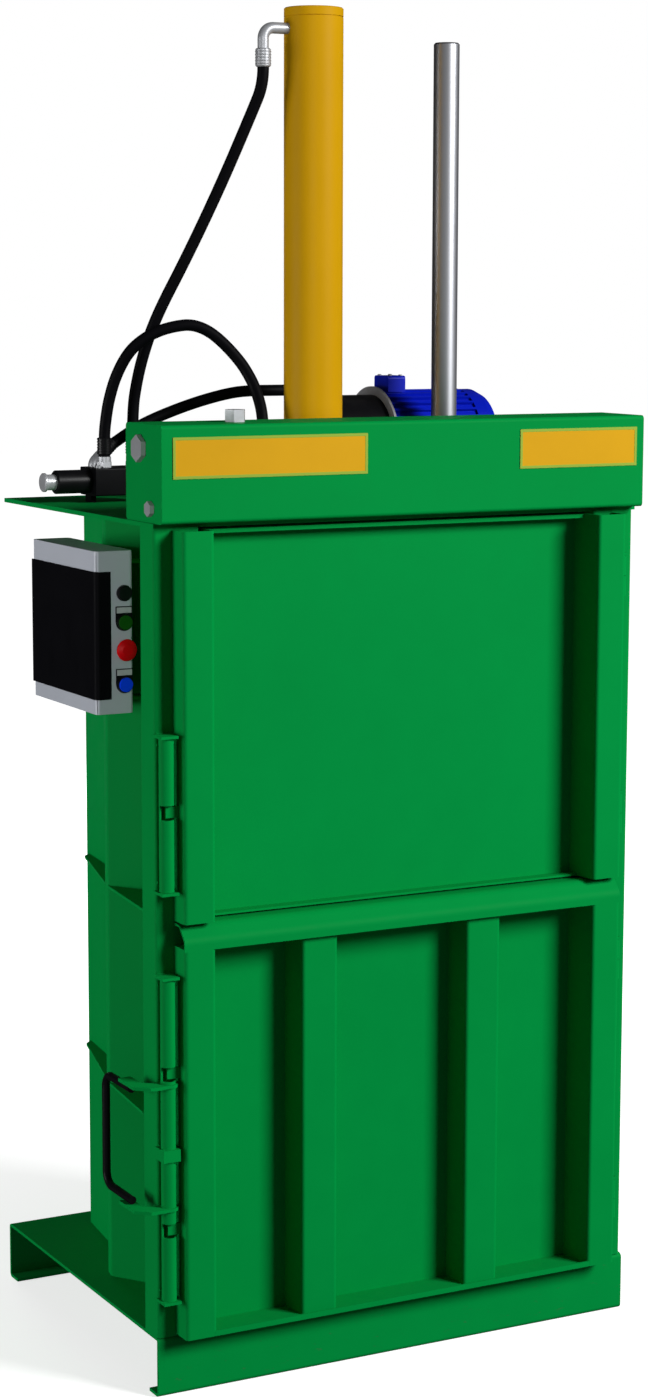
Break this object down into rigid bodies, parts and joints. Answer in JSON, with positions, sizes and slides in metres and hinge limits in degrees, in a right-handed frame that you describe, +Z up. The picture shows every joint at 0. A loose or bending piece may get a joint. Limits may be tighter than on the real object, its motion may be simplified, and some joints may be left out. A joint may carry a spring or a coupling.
{
  "type": "vertical recycling baler",
  "caption": "Upright baling press: folded steel chamber on a flat base, hydraulic cylinder and guide rod above, hinged front doors with turning tube latches, motor pump and control box.",
  "frame": {"origin": "centre of the underside of the base's front foot flange", "axes": "+X to the machine's right seen from its front, +Y back into the machine, +Z up"},
  "size_m": [1.058, 0.771, 2.51],
  "materials": {
    "green_paint": "satin",
    "zinc_steel": "plated",
    "bright_steel": "polished",
    "yellow_paint": "gloss",
    "label_yellow": "gloss",
    "motor_blue": "gloss",
    "black_paint": "satin",
    "grey_paint": "satin",
    "black_plastic": "matte",
    "dark_green_plastic": "matte",
    "green_plastic": "gloss",
    "red_plastic": "gloss",
    "blue_plastic": "gloss",
    "hose_rubber": "matte"
  },
  "bodies": {
    "frame": {"base_pan": "green_paint", "left_post": "green_paint", "right_post": "green_paint", "left_side_wall": "green_paint", "right_side_wall": "green_paint", "back_wall": "green_paint", "wall_gussets": "green_paint", "top_plate": "green_paint", "head_beam": "green_paint", "beam_end_plates": "green_paint", "beam_bolts": "zinc_steel", "label_plates": "label_yellow", "post_knuckles": "green_paint", "hinge_pins": "zinc_steel", "latch_brackets": "green_paint", "cylinder_barrel": "yellow_paint", "cylinder_flange": "green_paint", "cylinder_flange_bolts": "zinc_steel", "cylinder_gland": "zinc_steel", "hose_ferrules": "zinc_steel", "guide_bush": "zinc_steel", "valve_block": "black_paint", "valve_coil": "black_plastic", "valve_knob": "zinc_steel", "valve_fittings": "zinc_steel", "oil_tank": "black_paint", "pack_flange": "grey_paint", "motor_housing": "motor_blue", "fan_cowl": "motor_blue", "terminal_box": "motor_blue", "hose_elbows": "zinc_steel", "control_box": "grey_paint", "control_box_cover": "black_plastic", "control_box_brackets": "green_paint", "button_bezels": "black_plastic", "legend_plates": "dark_green_plastic", "contact_blocks": "black_plastic", "cylinder_top_hose": "hose_rubber", "cylinder_foot_hose": "hose_rubber", "pump_hose": "hose_rubber"},
    "ram": {"press_plate": "green_paint", "piston_rod": "bright_steel", "piston": "zinc_steel", "guide_rod": "bright_steel"},
    "upper_door": {"upper_door_panel": "green_paint", "upper_door_lug": "green_paint", "upper_door_knuckles": "green_paint"},
    "lower_door": {"lower_door_panel": "green_paint", "lower_door_lugs": "green_paint", "lower_door_rail": "green_paint", "lower_door_knuckles": "green_paint"},
    "upper_latch": {"upper_latch_tube": "green_paint"},
    "lower_latch": {"lower_latch_tube": "green_paint", "handle_arms": "green_paint", "handle_grip": "black_paint"},
    "fan": {"motor_fan": "zinc_steel"},
    "black_push": {"black_button": "black_plastic"},
    "green_push": {"green_button": "green_plastic"},
    "red_push": {"red_button": "red_plastic"},
    "blue_push": {"blue_button": "blue_plastic"}
  },
  "joints": [
    {"name": "ram_slide", "type": "slide", "parent": "frame", "child": "ram", "axis": [0, 0, -1], "range_m": [0, 0.75]},
    {"name": "upper_door_hinge", "type": "hinge", "parent": "frame", "child": "upper_door", "pos_m": [0.463, -0.033, 1.2], "axis": [0, 0, 1], "range_deg": [0, 110]},
    {"name": "lower_door_hinge", "type": "hinge", "parent": "frame", "child": "lower_door", "pos_m": [0.463, -0.033, 0.5], "axis": [0, 0, 1], "range_deg": [0, 110]},
    {"name": "upper_latch_turn", "type": "hinge", "parent": "frame", "child": "upper_latch", "pos_m": [-0.487, -0.04, 1.075], "axis": [0, 0, 1], "range_deg": [0, 100]},
    {"name": "lower_latch_turn", "type": "hinge", "parent": "frame", "child": "lower_latch", "pos_m": [-0.487, -0.04, 0.485], "axis": [0, 0, 1], "range_deg": [0, 100]},
    {"name": "fan_spin", "type": "hinge", "parent": "frame", "child": "fan", "pos_m": [0.42, 0.48, 1.689], "axis": [1, 0, 0], "continuous": true},
    {"name": "black_press", "type": "slide", "parent": "frame", "child": "black_push", "axis": [0, 1, 0], "range_m": [0, 0.0028], "stiffness_N_per_m": 1000, "springref_m": -0.001},
    {"name": "green_press", "type": "slide", "parent": "frame", "child": "green_push", "axis": [0, 1, 0], "range_m": [0, 0.0028], "stiffness_N_per_m": 1000, "springref_m": -0.001},
    {"name": "red_press", "type": "slide", "parent": "frame", "child": "red_push", "axis": [0, 1, 0], "range_m": [0, 0.0028]},
    {"name": "blue_press", "type": "slide", "parent": "frame", "child": "blue_push", "axis": [0, 1, 0], "range_m": [0, 0.0028], "stiffness_N_per_m": 1000, "springref_m": -0.001}
  ]
}
